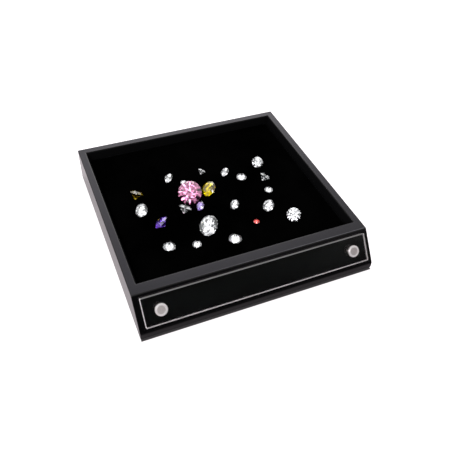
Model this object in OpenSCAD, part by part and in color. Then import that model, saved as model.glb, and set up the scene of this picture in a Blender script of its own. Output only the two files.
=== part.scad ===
// Open display tray for cut stones: a lacquered wooden frame with a sloped front,
// a clear name plate held by two cap screws, and a padded velvet insert that lifts out.
// Millimetres. The origin is at the middle of the footprint, on the surface the feet stand on.
// +X is to the right, +Y to the back and +Z up.

/* [Tray frame] */
// Width over the side boards
tray_w = 200; // [170:1:260]
// Depth of the rim, from the front arris to the back face
rim_d = 181.4; // [160:0.2:240]
// Height of the frame boards
tray_h = 30; // [27:0.5:36]
// Thickness of the side boards
side_t = 6.5; // [5.5:0.1:9]
// Thickness of the back board
back_t = 6.5; // [5.5:0.1:9]
// Width of the flat top of the front moulding
front_t = 9.6; // [8:0.1:14]
// Slope of the front face, from level
slope_angle = 52; // [48:1:58]
// Radius of the rounded nose under the slope
nose_r = 4.5; // [3:0.1:5.5]
// Radius along the arris between the rim and the slope
arris_r = 1.6; // [0.8:0.1:2.5]
// Depth of the rabbet in each side board that takes the back board
rabbet_d = 3; // [2:0.1:3.5]

/* [Corner dowels] */
// Diameter of the beech dowels in the front corners
dowel_d = 3; // [2.5:0.1:3.4]
// Length of a dowel
dowel_l = 16; // [10:1:24]
// Height of the lower dowels above the bottom of the boards
dowel_low_z = 9; // [7:0.5:11]
// Height of the upper dowels above the bottom of the boards
dowel_high_z = 22; // [16:0.5:23]
// Radial glue gap round a dowel
dowel_gap = 0.05; // [0.02:0.01:0.1]

/* [Base] */
// Thickness of the base panel
base_t = 3; // [2:0.1:4]
// Width of the rebate that the base panel lies in
rebate_w = 3; // [2:0.1:3.5]
// Gap round the base panel in its rebate
base_gap = 0.2; // [0.1:0.05:0.4]
// Diameter of the rubber feet
foot_d = 12; // [8:0.5:16]
// Thickness of the rubber feet
foot_t = 1; // [0.8:0.1:3]
// Distance from the tray's sides and back to a foot's centre
foot_inset = 24; // [20:0.5:34]
// Distance from the front arris to a front foot's centre
foot_front = 14; // [8:0.5:30]

/* [Base screws] */
// Shank diameter of the screws that hold the base panel
base_screw_d = 2.6; // [2:0.1:3]
// Length of a base screw
base_screw_l = 9; // [7:0.5:10]
// Diameter of a countersunk head
base_head_d = 5; // [4:0.1:6]
// Height of a countersunk head
base_head_h = 1.4; // [1:0.1:1.8]
// Radial clearance round a base screw
base_screw_gap = 0.05; // [0.02:0.01:0.1]
// Distance between neighbouring screws along a side
base_screw_pitch = 62; // [40:1:66]

/* [Insert] */
// Depth of the recess, from the rim to the top of the velvet pad
recess = 6; // [5:0.5:9]
// Height of the padded insert, from its board to its top
pad_h = 11; // [9:0.5:13]
// Thickness of the insert's board
board_t = 3; // [2:0.1:4]
// Thickness of the velvet cover
cover_t = 0.6; // [0.4:0.1:1.2]
// Radius of the pad's rolled upper edge
roll_r = 6; // [2:0.5:7]
// Clearance between the insert and the velvet lining
pad_fit = 0.4; // [0.2:0.1:1]
// Width of the ledges that carry the insert
ledge_w = 8; // [6:0.5:12]
// Thickness of the velvet lining on the inner walls
lining_t = 0.8; // [0.5:0.1:1.5]
// Distance from the rim down to the lining's upper edge
lining_drop = 0.8; // [0.3:0.1:2]

/* [Name plate] */
// Width of the clear plate
plate_w = 190; // [150:1:192]
// Height of the clear plate, measured along the slope
plate_l = 23; // [18:0.5:24]
// Thickness of the clear plate
plate_t = 3; // [2:0.1:4]
// Distance from the arris down the slope to the middle of the plate
plate_s = 14.7; // [13.5:0.1:15.2]
// Corner radius of the plate
plate_r = 0.8; // [0.4:0.1:4]
// Thickness of the blank card behind the plate
card_t = 0.4; // [0.2:0.1:0.8]
// Gap between the card and the lacquered slope
card_gap = 0.05; // [0.02:0.01:0.1]
// Margin of the card inside the plate's edge
card_margin = 1.5; // [1:0.1:4]
// Diameter of the screw holes in the plate and the card
plate_hole_d = 4.6; // [4.4:0.1:5.5]

/* [Cap screws] */
// Distance from the middle of the tray to a cap screw
cap_x = 81.5; // [60:0.5:86]
// Diameter of the cap
cap_d = 9.6; // [8.5:0.1:12]
// Thickness of the cap
cap_t = 2.2; // [1.6:0.1:4]
// Width of the bright chamfer round the cap's face
cap_chamfer = 0.9; // [0.4:0.1:1.2]
// Depth of the turned dish in the cap's face
cap_dish = 0.12; // [0.05:0.01:0.3]
// Diameter of the cap's screwed shank
shank_d = 4; // [3.5:0.1:4.2]
// Length of the shank that reaches into the front moulding
shank_reach = 8; // [6:0.5:8.5]
// Radial running clearance of the shank in its insert
thread_gap = 0.05; // [0.02:0.01:0.1]
// Diameter of the nylon washer under the cap
washer_d = 8; // [7:0.1:9]
// Thickness of the nylon washer
washer_t = 0.5; // [0.3:0.1:1]
// Outer diameter of the brass insert
insert_d = 6; // [5.4:0.1:7]
// Length of the brass insert
insert_l = 9; // [7:0.5:9.5]
// Diameter of the brass insert's flange
flange_d = 7.6; // [7.2:0.1:9]
// Thickness of the brass insert's flange
flange_t = 0.8; // [0.5:0.1:1.2]

/* [Stones] */
// Angle between the girdle and a crown's main facets
crown_angle = 34.5; // [30:0.5:38]
// Angle between the girdle and a pavilion's main facets
pavilion_angle = 40.75; // [38:0.25:44]
// Width of the table over its corners, as a share of the girdle's diameter
table_share = 0.58; // [0.5:0.01:0.66]
// Length of the star facets, as a share of the way from table to girdle
star_share = 0.5; // [0.4:0.05:0.6]
// Length of the lower half facets, as a share of the way from girdle to culet
lower_half_share = 0.76; // [0.6:0.02:0.85]
// Thickness of the girdle, as a share of its diameter
girdle_share = 0.02; // [0.01:0.005:0.05]
// Gap between a resting stone and the velvet
stone_gap = 0.2; // [0.1:0.05:0.4]

/* [Hidden] */
// Each stone: name, girdle diameter, place on the pad from its middle, and how it lies:
// "tipped" on a pavilion facet, its table facing the direction that follows, or "table_down".
STONES = [
    ["clear_stone_01", 10.5, [52.5, 19], "tipped", -95],
    ["clear_stone_02", 10.5, [50.5, -1.5], "tipped", 20],
    ["clear_stone_03", 7.5, [47, -17], "table_down", 10],
    ["clear_stone_04", 10.5, [36.5, -38], "tipped", -165],
    ["clear_stone_05", 12, [51.5, -56], "tipped", -130],
    ["clear_stone_06", 9, [31, 7], "table_down", 0],
    ["clear_stone_07", 8.5, [18.5, 17], "tipped", 180],
    ["clear_stone_08", 8, [-0.5, 26], "tipped", 33],
    ["clear_stone_09", 9, [-32.5, 26], "tipped", -177],
    ["clear_stone_10", 12, [-31.5, -16.5], "tipped", 42],
    ["clear_stone_11", 11.5, [-67, -7], "tipped", -156],
    ["clear_stone_12", 8.5, [10, -26], "tipped", -168],
    ["clear_stone_13", 10.5, [-5, -62.5], "table_down", 20],
    ["clear_stone_14", 10, [-57.5, -52], "table_down", 5],
    ["clear_stone_15", 7.5, [-36, -57], "table_down", 15],
    ["clear_stone_16", 5.5, [-21, 18.5], "table_down", 0],
    ["large_clear_stone", 17.5, [-21.5, -45], "tipped", -168],
    ["pink_stone", 20.5, [-22.5, -3], "tipped", -110],
    ["amber_stone", 14, [-4.5, -1.5], "tipped", -175],
    ["lavender_stone", 8, [-18.5, -17.5], "tipped", -170],
    ["honey_stone", 12.5, [-65, 14.5], "tipped", 48],
    ["violet_stone", 12.5, [-56.5, -26.5], "tipped", 147],
    ["red_stone", 5.5, [20, -49.5], "table_down", 8]
];

$fn = 48;
cut = 1; // how far a cutting tool runs past the face it cuts

lacquer_colour = [0.05, 0.05, 0.055];
velvet_colour = [0.02, 0.02, 0.022];
board_colour = [0.35, 0.28, 0.2];
steel_colour = [0.75, 0.74, 0.73];
brass_colour = [0.78, 0.62, 0.3];

// Where the centres of the nose's and the arris's roundings lie behind the arris.
nose_y = (nose_r - cos(slope_angle) * (tray_h - nose_r)) / sin(slope_angle);
arris_y = arris_r * tan(slope_angle / 2);
nose_reach = nose_r - nose_y;

// The frame is drawn from its own corner, the foot of the arris, and moved once to the part's origin.
front_y = nose_reach / 2 - rim_d / 2;
bottom_z = foot_t;
rim_z = foot_t + tray_h;

inner_w = tray_w - 2 * side_t;
inner_front = front_y + front_t;
inner_back = front_y + rim_d - back_t;
inner_d = inner_back - inner_front;
inner_y = (inner_front + inner_back) / 2;

pad_top = rim_z - recess;
pad_bottom = pad_top - pad_h;
pad_w = inner_w - 2 * (lining_t + pad_fit);
pad_d = inner_d - 2 * (lining_t + pad_fit);
base_top = bottom_z + base_t;
ledge_h = pad_bottom - base_top;
lining_h = rim_z - lining_drop - pad_bottom;

plate_z = card_gap + card_t;
head_seat = plate_z + plate_t + washer_t;
bore_depth = insert_l + 1;

module at_corner_of_frame() {
    translate([0, front_y, bottom_z]) children();
}

// Puts a drawing that lies flat (x across, y up the slope, z outwards) onto the slope,
// with its origin on the slope at the plate's middle height.
module on_slope(x = 0) {
    translate([0, front_y, rim_z])
        rotate([slope_angle, 0, 0])
            translate([x, -plate_s, 0])
                children();
}

// Runs a profile, drawn in (y, z), across the tray.
module across(width) {
    rotate([90, 0, 90])
        linear_extrude(height = width, center = true)
            children();
}

module box_from(low, high) {
    translate(low) cube(high - low);
}

// Points along an arc, both ends included.
function arc(centre, radius, from, to, steps = 14) =
    [for (k = [0:steps])
        let (a = from + (to - from) * k / steps) centre + radius * [cos(a), sin(a)]];

// The front moulding's section: flat top, arris, slope, rounded nose and flat underside.
module moulding_profile() {
    slope_side = 90 + slope_angle;
    polygon(concat(
        [[front_t, 0], [front_t, tray_h]],
        arc([arris_y, tray_h - arris_r], arris_r, 90, slope_side, 8),
        arc([nose_y, nose_r], nose_r, slope_side, 270)));
}

// The space that the base panel lies in, cut from every board round it.
module base_rebate(gap) {
    box_from(
        [-inner_w / 2 - rebate_w + gap, inner_front - rebate_w + gap, bottom_z],
        [inner_w / 2 + rebate_w - gap, inner_back + rebate_w - gap, base_top]);
}

module dowels(gap) {
    for (x = [-1, 1] * (tray_w - side_t) / 2)
        for (z = [dowel_low_z, dowel_high_z])
            translate([x, inner_front, bottom_z + z])
                rotate([90, 0, 0])
                    cylinder(d = dowel_d + 2 * gap, h = dowel_l + 2 * gap, center = true);
}

module front_moulding() {
    color(lacquer_colour)
        difference() {
            at_corner_of_frame() across(tray_w) moulding_profile();
            translate([0, 0, -cut]) base_rebate(0);
            base_rebate(0);
            dowels(dowel_gap);
            for (x = [-cap_x, cap_x])
                on_slope(x) {
                    translate([0, 0, -bore_depth]) cylinder(d = insert_d, h = bore_depth + cut);
                    translate([0, 0, -flange_t]) cylinder(d = flange_d, h = flange_t + cut);
                }
        }
}

module side_board(side) {
    difference() {
        translate([side > 0 ? inner_w / 2 : -tray_w / 2, inner_front, bottom_z])
            cube([side_t, rim_d - front_t, tray_h]);
        back_board_space();
        translate([0, 0, -cut]) base_rebate(0);
        base_rebate(0);
        dowels(dowel_gap);
    }
}

module left_side() {
    color(lacquer_colour) side_board(-1);
}

module right_side() {
    color(lacquer_colour) side_board(1);
}

module back_board_space() {
    translate([-inner_w / 2 - rabbet_d, inner_back, bottom_z])
        cube([inner_w + 2 * rabbet_d, back_t + cut, tray_h]);
}

module back_board() {
    color(lacquer_colour)
        difference() {
            translate([-inner_w / 2 - rabbet_d, inner_back, bottom_z])
                cube([inner_w + 2 * rabbet_d, back_t, tray_h]);
            translate([0, 0, -cut]) base_rebate(0);
            base_rebate(0);
        }
}

module corner_dowels() {
    color("burlywood") dowels(0);
}

// The screws lie in the middle of the ledges: three along each side, one at the front and the back.
module at_base_screws() {
    side_x = (inner_w - ledge_w) / 2;
    for (x = [-side_x, side_x])
        for (step = [-1, 0, 1])
            translate([x, inner_y + step * base_screw_pitch, bottom_z]) children();
    for (y = [inner_front + ledge_w / 2, inner_back - ledge_w / 2])
        translate([0, y, bottom_z]) children();
}

module base_screw(gap) {
    cylinder(d1 = base_head_d + 2 * gap, d2 = base_screw_d + 2 * gap, h = base_head_h);
    cylinder(d = base_screw_d + 2 * gap, h = base_screw_l + gap);
}

module base_panel() {
    color(board_colour)
        difference() {
            base_rebate(base_gap);
            at_base_screws() base_screw(base_screw_gap);
        }
}

module base_screws() {
    color(steel_colour) at_base_screws() base_screw(0);
}

module feet() {
    color([0.1, 0.1, 0.1])
        for (x = [-1, 1] * (tray_w / 2 - foot_inset))
            for (y = [front_y + foot_front, front_y + rim_d - foot_inset])
                translate([x, y, 0]) foot();
}

// A moulded rubber disc with a soft lower edge.
module foot() {
    edge = foot_t / 4;
    rotate_extrude()
        polygon([
            [0, 0], [foot_d / 2 - edge, 0], [foot_d / 2, edge], [foot_d / 2, foot_t], [0, foot_t]
        ]);
}

module ledge(low, high) {
    difference() {
        box_from([low[0], low[1], base_top], [high[0], high[1], pad_bottom]);
        at_base_screws() base_screw(base_screw_gap);
    }
}

module left_ledge() {
    color(board_colour)
        ledge([-inner_w / 2, inner_front], [-inner_w / 2 + ledge_w, inner_back]);
}

module right_ledge() {
    color(board_colour)
        ledge([inner_w / 2 - ledge_w, inner_front], [inner_w / 2, inner_back]);
}

module front_ledge() {
    color(board_colour)
        ledge([-inner_w / 2 + ledge_w, inner_front], [inner_w / 2 - ledge_w, inner_front + ledge_w]);
}

module back_ledge() {
    color(board_colour)
        ledge([-inner_w / 2 + ledge_w, inner_back - ledge_w], [inner_w / 2 - ledge_w, inner_back]);
}

module lining(low, high) {
    color(velvet_colour)
        box_from([low[0], low[1], pad_bottom], [high[0], high[1], pad_bottom + lining_h]);
}

module left_lining() {
    lining([-inner_w / 2, inner_front], [-inner_w / 2 + lining_t, inner_back]);
}

module right_lining() {
    lining([inner_w / 2 - lining_t, inner_front], [inner_w / 2, inner_back]);
}

module front_lining() {
    lining(
        [-inner_w / 2 + lining_t, inner_front],
        [inner_w / 2 - lining_t, inner_front + lining_t]);
}

module back_lining() {
    lining(
        [-inner_w / 2 + lining_t, inner_back - lining_t],
        [inner_w / 2 - lining_t, inner_back]);
}

module rolled_profile(width, height, radius) {
    shoulder = [width / 2 - radius, height - radius];
    polygon(concat(
        [[-width / 2, 0], [width / 2, 0]],
        arc(shoulder, radius, 0, 90, 10),
        arc([-shoulder[0], shoulder[1]], radius, 90, 180, 10)));
}

// A slab on z = 0 whose four upper edges are rolled over, as foam is under stretched cloth.
module rolled_slab(width, depth, height, radius) {
    intersection() {
        rotate([90, 0, 0])
            linear_extrude(height = depth, center = true)
                rolled_profile(width, height, radius);
        across(width) rolled_profile(depth, height, radius);
    }
}

module padding(shrink) {
    translate([0, inner_y, pad_bottom])
        rolled_slab(
            pad_w - 2 * shrink, pad_d - 2 * shrink, pad_h - shrink, roll_r - shrink);
}

module insert_board_space() {
    translate([-pad_w / 2 + cover_t, inner_y - pad_d / 2 + cover_t, pad_bottom])
        cube([pad_w - 2 * cover_t, pad_d - 2 * cover_t, board_t]);
}

module insert_board() {
    color(board_colour) insert_board_space();
}

module pad_foam() {
    color([0.25, 0.25, 0.27])
        difference() {
            padding(cover_t);
            translate([-pad_w / 2, inner_y - pad_d / 2, pad_bottom - cut])
                cube([pad_w, pad_d, board_t + cut]);
        }
}

module velvet_cover() {
    color(velvet_colour)
        difference() {
            padding(0);
            padding(cover_t);
        }
}

module rounded_plate(width, height, thickness, radius) {
    linear_extrude(height = thickness) {
        square([width - 2 * radius, height], center = true);
        square([width, height - 2 * radius], center = true);
        for (x = [-1, 1] * (width / 2 - radius))
            for (y = [-1, 1] * (height / 2 - radius))
                translate([x, y]) circle(r = radius, $fn = 32);
    }
}

module plate_holes() {
    for (x = [-cap_x, cap_x])
        translate([x, 0, -cut]) cylinder(d = plate_hole_d, h = plate_z + plate_t + 2 * cut);
}

module label_card() {
    color([0.04, 0.045, 0.045])
        on_slope()
            difference() {
                translate([0, 0, card_gap + card_t / 2])
                    cube([plate_w - 2 * card_margin, plate_l - 2 * card_margin, card_t], center = true);
                plate_holes();
            }
}

module name_plate() {
    color([0.85, 0.9, 0.9, 0.4])
        on_slope()
            difference() {
                translate([0, 0, plate_z]) rounded_plate(plate_w, plate_l, plate_t, plate_r);
                plate_holes();
            }
}

// A flanged brass insert, pressed flush into the front moulding.
module threaded_insert(x) {
    bore_r = shank_d / 2 + thread_gap;
    color(brass_colour)
        on_slope(x)
            rotate_extrude()
                polygon([
                    [bore_r, -insert_l], [insert_d / 2, -insert_l],
                    [insert_d / 2, -flange_t], [flange_d / 2, -flange_t],
                    [flange_d / 2, 0], [bore_r, 0]
                ]);
}

module left_insert() {
    threaded_insert(-cap_x);
}

module right_insert() {
    threaded_insert(cap_x);
}

module washer(x) {
    color("ivory")
        on_slope(x)
            translate([0, 0, plate_z + plate_t])
                difference() {
                    cylinder(d = washer_d, h = washer_t);
                    translate([0, 0, -cut]) cylinder(d = shank_d + 2 * thread_gap, h = washer_t + 2 * cut);
                }
}

module left_washer() {
    washer(-cap_x);
}

module right_washer() {
    washer(cap_x);
}

// One turned piece: shank, head, chamfer and a shallow dish in the face.
module cap_screw(x) {
    shank_r = shank_d / 2;
    tip = 0.6;
    face_r = cap_d / 2 - cap_chamfer;
    top = head_seat + cap_t;
    color(steel_colour)
        on_slope(x)
            rotate_extrude()
                polygon([
                    [0, -shank_reach], [shank_r - tip, -shank_reach], [shank_r, tip - shank_reach],
                    [shank_r, head_seat], [cap_d / 2, head_seat],
                    [cap_d / 2, top - cap_chamfer * 0.7], [face_r, top],
                    [face_r - 2 * cap_dish, top - cap_dish], [0, top - cap_dish]
                ]);
}

module left_cap_screw() {
    cap_screw(-cap_x);
}

module right_cap_screw() {
    cap_screw(cap_x);
}

// A round brilliant with a girdle radius of 1: an eight-sided table, 8 star facets, 8 kites and
// 16 upper halves on the crown, and 16 lower halves and 8 mains on the pavilion.
// The rings of corners run from the table down to the culet.
table_r = table_share;
star_r = table_r * cos(22.5) + star_share * (1 - table_r * cos(22.5));
lower_r = 1 - lower_half_share;
half_girdle = girdle_share;

function crown_z(r, turn) = half_girdle + (1 - r * cos(turn)) * tan(crown_angle);
function pavilion_z(r, turn) = -half_girdle - (1 - r * cos(turn)) * tan(pavilion_angle);
function ring(count, r, z, turn) =
    [for (k = [0:count - 1]) [r * cos(turn + k * 360 / count), r * sin(turn + k * 360 / count), z]];

TABLE = 0;
STAR = 8;
UPPER = 16;
LOWER = 32;
HALVES = 48;
CULET = 56;

brilliant_corners = concat(
    ring(8, table_r, crown_z(table_r, 0), 0),
    ring(8, star_r, crown_z(star_r, 22.5), 22.5),
    ring(16, 1, half_girdle, 0),
    ring(16, 1, -half_girdle, 0),
    ring(8, lower_r, pavilion_z(lower_r, 22.5), 22.5),
    [[0, 0, pavilion_z(0, 0)]]);

// Corner k of a ring of the given size, counted round and round.
function corner(ring_start, k, size = 8) = ring_start + (k + size) % size;

brilliant_facets = concat(
    [[for (k = [7:-1:0]) TABLE + k]],
    [for (k = [0:7]) each [
        [corner(TABLE, k), corner(TABLE, k + 1), corner(STAR, k)],
        [corner(TABLE, k), corner(STAR, k), corner(UPPER, 2 * k, 16)],
        [corner(TABLE, k), corner(UPPER, 2 * k, 16), corner(STAR, k - 1)],
        [corner(STAR, k), corner(UPPER, 2 * k + 1, 16), corner(UPPER, 2 * k, 16)],
        [corner(STAR, k), corner(UPPER, 2 * k + 2, 16), corner(UPPER, 2 * k + 1, 16)],
        [corner(HALVES, k), corner(LOWER, 2 * k, 16), corner(LOWER, 2 * k + 1, 16)],
        [corner(HALVES, k), corner(LOWER, 2 * k + 1, 16), corner(LOWER, 2 * k + 2, 16)],
        [CULET, corner(LOWER, 2 * k, 16), corner(HALVES, k)],
        [CULET, corner(HALVES, k - 1), corner(LOWER, 2 * k, 16)]
    ]],
    [for (k = [0:15]) each [
        [corner(UPPER, k, 16), corner(UPPER, k + 1, 16), corner(LOWER, k, 16)],
        [corner(UPPER, k + 1, 16), corner(LOWER, k + 1, 16), corner(LOWER, k, 16)]
    ]]);

module brilliant(diameter) {
    scale(diameter / 2)
        polyhedron(points = brilliant_corners, faces = brilliant_facets, convexity = 2);
}

// A tipped stone lies on one main facet of its pavilion, so its axis leans by the pavilion's angle.
module stone(entry) {
    diameter = entry[1];
    place = entry[2];
    tipped = entry[3] == "tipped";
    girdle_up = tipped
        ? diameter / 2 * (sin(pavilion_angle) + half_girdle * cos(pavilion_angle))
        : diameter / 2 * crown_z(table_r, 0);
    color(stone_colour(entry[0]))
        translate([place[0], inner_y + place[1], pad_top + stone_gap + girdle_up])
            rotate([0, 0, entry[4]])
                rotate(tipped ? [0, pavilion_angle, 0] : [180, 0, 0])
                    brilliant(diameter);
}

function stone_colour(name) =
    name == "pink_stone" ? [0.93, 0.55, 0.75] :
    name == "amber_stone" ? [0.95, 0.65, 0.1] :
    name == "honey_stone" ? [0.9, 0.65, 0.15] :
    name == "lavender_stone" ? [0.65, 0.55, 0.85] :
    name == "violet_stone" ? [0.4, 0.25, 0.85] :
    name == "red_stone" ? [0.9, 0.2, 0.12] :
    [0.9, 0.92, 0.95];

front_moulding();
left_side();
right_side();
back_board();
corner_dowels();
base_panel();
base_screws();
feet();
left_ledge();
right_ledge();
front_ledge();
back_ledge();
left_lining();
right_lining();
front_lining();
back_lining();
insert_board();
pad_foam();
velvet_cover();
label_card();
name_plate();
left_insert();
right_insert();
left_washer();
right_washer();
left_cap_screw();
right_cap_screw();
for (entry = STONES)
    stone(entry);
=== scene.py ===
import math
import bmesh
import bpy
from mathutils import Matrix, Vector, noise


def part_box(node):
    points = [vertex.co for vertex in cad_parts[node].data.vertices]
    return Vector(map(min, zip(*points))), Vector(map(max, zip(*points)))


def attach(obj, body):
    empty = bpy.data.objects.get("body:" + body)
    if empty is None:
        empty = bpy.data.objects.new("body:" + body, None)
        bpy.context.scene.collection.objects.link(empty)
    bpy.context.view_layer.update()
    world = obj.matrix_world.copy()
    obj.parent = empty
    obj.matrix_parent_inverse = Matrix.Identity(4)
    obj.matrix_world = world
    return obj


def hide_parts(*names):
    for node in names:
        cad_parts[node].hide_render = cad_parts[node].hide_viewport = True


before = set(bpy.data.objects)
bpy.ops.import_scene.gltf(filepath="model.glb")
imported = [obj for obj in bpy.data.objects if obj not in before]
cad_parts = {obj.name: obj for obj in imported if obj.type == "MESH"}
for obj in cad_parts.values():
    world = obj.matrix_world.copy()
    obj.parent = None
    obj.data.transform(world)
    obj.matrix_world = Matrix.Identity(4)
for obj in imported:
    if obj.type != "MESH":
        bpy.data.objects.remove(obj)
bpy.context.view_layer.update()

# Tray frame. The real one is three boards and a sloped front moulding of fibreboard, dowelled
# and glued, then sprayed with black polyester lacquer in one go, so that no joint shows. The
# sides and the slope are polished, and the flat rim is rubbed down to satin.
mm = 0.001


def linear(hex_colour):
    """An sRGB hex colour as linear RGBA."""
    parts = [int(hex_colour[i:i + 2], 16) / 255 for i in (1, 3, 5)]
    return (*[p / 12.92 if p <= 0.04045 else ((p + 0.055) / 1.055) ** 2.4 for p in parts], 1.0)


def start_material(name):
    """A material with no nodes yet."""
    material = bpy.data.materials.new(name)
    material.use_nodes = True
    material.node_tree.nodes.clear()
    return material


def add_node(owner, kind, values={}, links={}, **settings):
    """Adds a shader node with its sockets' values, and with links as socket: (node, output)."""
    made = owner.node_tree.nodes.new("ShaderNode" + kind)
    for name, value in settings.items():
        setattr(made, name, value)
    for name, value in values.items():
        made.inputs[name].default_value = value
    for name, (source, output) in links.items():
        owner.node_tree.links.new(source.outputs[output], made.inputs[name])
    return made


def start_box(name, low, high):
    """A cube primitive stretched between two corners, the only thing selected."""
    bpy.ops.object.select_all(action="DESELECT")
    bpy.ops.mesh.primitive_cube_add(size=1, location=[(a + b) / 2 for a, b in zip(low, high)])
    piece = bpy.context.object
    piece.name = piece.data.name = name
    piece.scale = [b - a for a, b in zip(low, high)]
    bpy.ops.object.transform_apply(location=True, rotation=True, scale=True)
    return piece


def select_only(piece):
    """Makes a piece the active and only selected one."""
    bpy.ops.object.select_all(action="DESELECT")
    bpy.context.view_layer.objects.active = piece
    piece.select_set(True)


def edit(piece):
    """Opens one piece alone in edit mode."""
    select_only(piece)
    bpy.ops.object.mode_set(mode="EDIT")


def pick(kind, test):
    """In edit mode, selects the VERT, EDGE or FACE parts whose corners all pass the test."""
    bpy.ops.mesh.select_mode(type=kind)
    bpy.ops.mesh.select_all(action="DESELECT")
    shape = bmesh.from_edit_mesh(bpy.context.object.data)
    parts = {"VERT": shape.verts, "EDGE": shape.edges, "FACE": shape.faces}[kind]
    for part in parts:
        if all(test(v.co) for v in ([part] if kind == "VERT" else part.verts)):
            part.select_set(True)
    shape.select_flush_mode()
    bmesh.update_edit_mesh(bpy.context.object.data)


def close_to(a, b):
    """True where two measures agree to 0.02 mm."""
    return abs(a - b) < 0.02 * mm


def shape_with(piece, kind, **settings):
    """Adds a modifier to a piece and applies it."""
    select_only(piece)
    made = piece.modifiers.new(kind.lower(), kind)
    for name, value in settings.items():
        setattr(made, name, value)
    bpy.ops.object.modifier_apply(modifier=made.name)


def smooth(piece, degrees):
    """Shades a piece smooth, but for edges sharper than the angle."""
    select_only(piece)
    bpy.ops.object.shade_smooth_by_angle(angle=math.radians(degrees))


def drill(piece, radius, length, middle, tilt=0.0):
    """Cuts a round hole into a piece, its axis tilted forward from upright."""
    bpy.ops.object.select_all(action="DESELECT")
    bpy.ops.mesh.primitive_cylinder_add(vertices=48, radius=radius, depth=length, location=middle,
                                        rotation=(tilt, 0, 0))
    bit = bpy.context.object
    shape_with(piece, "BOOLEAN", operation="DIFFERENCE", object=bit, solver="EXACT")
    bpy.data.objects.remove(bit)


# The boards' thicknesses, the radii of their edges, and where the solids put them.
slope = math.radians(52)
side_t, back_t, front_t, rebate_w = 6.5 * mm, 6.5 * mm, 9.6 * mm, 3 * mm
nose_r, arris_r, lip_r, edge_r = 4.5 * mm, 1.6 * mm, 1.2 * mm, 0.7 * mm
hair = 0.01 * mm
moulding_low, moulding_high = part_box("front_moulding")
half_w, rim_z, bottom_z = moulding_high.x, moulding_high.z, moulding_low.z
inner_front, back_y = moulding_high.y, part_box("back_board")[1].y
inner_back, inner_x = back_y - back_t, half_w - side_t
arris_y = inner_front - front_t
base_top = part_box("base_panel")[1].z
run_out = (rim_z - bottom_z) / math.tan(slope)

# The slope ends in an upright lip, as far forward as the moulding reaches.
front_y = arris_y - run_out + nose_r / math.tan(slope / 2) - nose_r
lip_z = rim_z - (arris_y - front_y) * math.tan(slope)
tray = start_box("lacquered_frame", (-half_w, front_y, bottom_z), (half_w, back_y, rim_z))
edit(tray)

# A cut at the lip's height, which only the front keeps, and the slope from there up to the rim.
bpy.ops.mesh.bisect(plane_co=(0, 0, lip_z), plane_no=(0, 0, 1))
pick("EDGE", lambda p: close_to(p.z, lip_z))
shape = bmesh.from_edit_mesh(tray.data)
for edge in shape.edges:
    edge.select_set(edge.select and max(v.co.y for v in edge.verts) > 0)
bpy.ops.mesh.dissolve_edges(use_verts=False)
pick("VERT", lambda p: close_to(p.z, rim_z) and p.y < 0)
bpy.ops.transform.translate(value=(0, arris_y - front_y, 0))
pick("EDGE", lambda p: close_to(p.z, lip_z) and p.y < 0)
bpy.ops.mesh.bevel(offset=nose_r * math.tan(math.pi / 4 - slope / 2), segments=8, profile=0.5,
                   affect="EDGES")
pick("EDGE", lambda p: close_to(p.z, bottom_z) and p.y < 0)
bpy.ops.mesh.bevel(offset=lip_r, segments=4, profile=0.5, affect="EDGES")
pick("EDGE", lambda p: close_to(p.z, rim_z) and p.y < 0)
bpy.ops.mesh.bevel(offset=arris_r * math.tan(slope / 2), segments=3, profile=0.5, affect="EDGES")

# A bevel across a corner that isn't square is a part of an ellipse, so the nose and the arris
# are drawn out to true arcs. Their corners lie within 1.3 radii of the arc's middle.
shape = bmesh.from_edit_mesh(tray.data)
nose_end = front_y + lip_r
arris_end = arris_y + arris_r * math.tan(slope / 2)
for y, z, radius in ((front_y + nose_r, bottom_z + nose_r, nose_r),
                     (arris_end, rim_z - arris_r, arris_r)):
    for v in shape.verts:
        from_middle = Vector((0, v.co.y - y, v.co.z - z))
        if from_middle.length < 1.3 * radius and v.co.y < y - hair and from_middle.z > -hair:
            v.co -= from_middle * (1 - radius / from_middle.length)
bmesh.update_edit_mesh(tray.data)

# The opening from above: inset, its front edge set to the moulding's width, then pushed down.
well_in_x, well_in_y = half_w - 1 * mm, back_y - 1 * mm
pick("FACE", lambda p: close_to(p.z, rim_z))
bpy.ops.mesh.inset(thickness=side_t, use_even_offset=True)
pick("VERT", lambda p: close_to(p.z, rim_z) and abs(p.x) < well_in_x and p.y < 0)
bpy.ops.transform.translate(value=(0, inner_front - arris_end - side_t, 0))
pick("FACE", lambda p: close_to(p.z, rim_z) and abs(p.x) < well_in_x and p.y < well_in_y)
bpy.ops.mesh.extrude_region_move(TRANSFORM_OT_translate={"value": (0, 0, base_top - rim_z)})
bpy.ops.mesh.delete(type="FACE")

# The rebate for the base from below, and the ledge left between it and the opening.
pick("FACE", lambda p: close_to(p.z, bottom_z))
bpy.ops.mesh.inset(thickness=side_t - rebate_w, use_even_offset=True)
pick("VERT", lambda p: close_to(p.z, bottom_z) and abs(p.x) < well_in_x and p.y < 0)
bpy.ops.transform.translate(value=(0, inner_front - rebate_w - nose_end - (side_t - rebate_w), 0))
pick("FACE", lambda p: close_to(p.z, bottom_z) and abs(p.x) < well_in_x)
bpy.ops.mesh.extrude_region_move(TRANSFORM_OT_translate={"value": (0, 0, base_top - bottom_z)})
bpy.ops.mesh.inset(thickness=rebate_w, use_even_offset=True)
bpy.ops.mesh.delete(type="FACE")
bpy.ops.mesh.select_all(action="SELECT")
bpy.ops.mesh.remove_doubles(threshold=hair)
bpy.ops.mesh.normals_make_consistent(inside=False)
bpy.ops.object.mode_set(mode="OBJECT")
shape_with(tray, "BEVEL", width=edge_r, segments=4, limit_method="ANGLE",
           angle_limit=math.radians(35), use_clamp_overlap=False, loop_slide=False)

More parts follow.
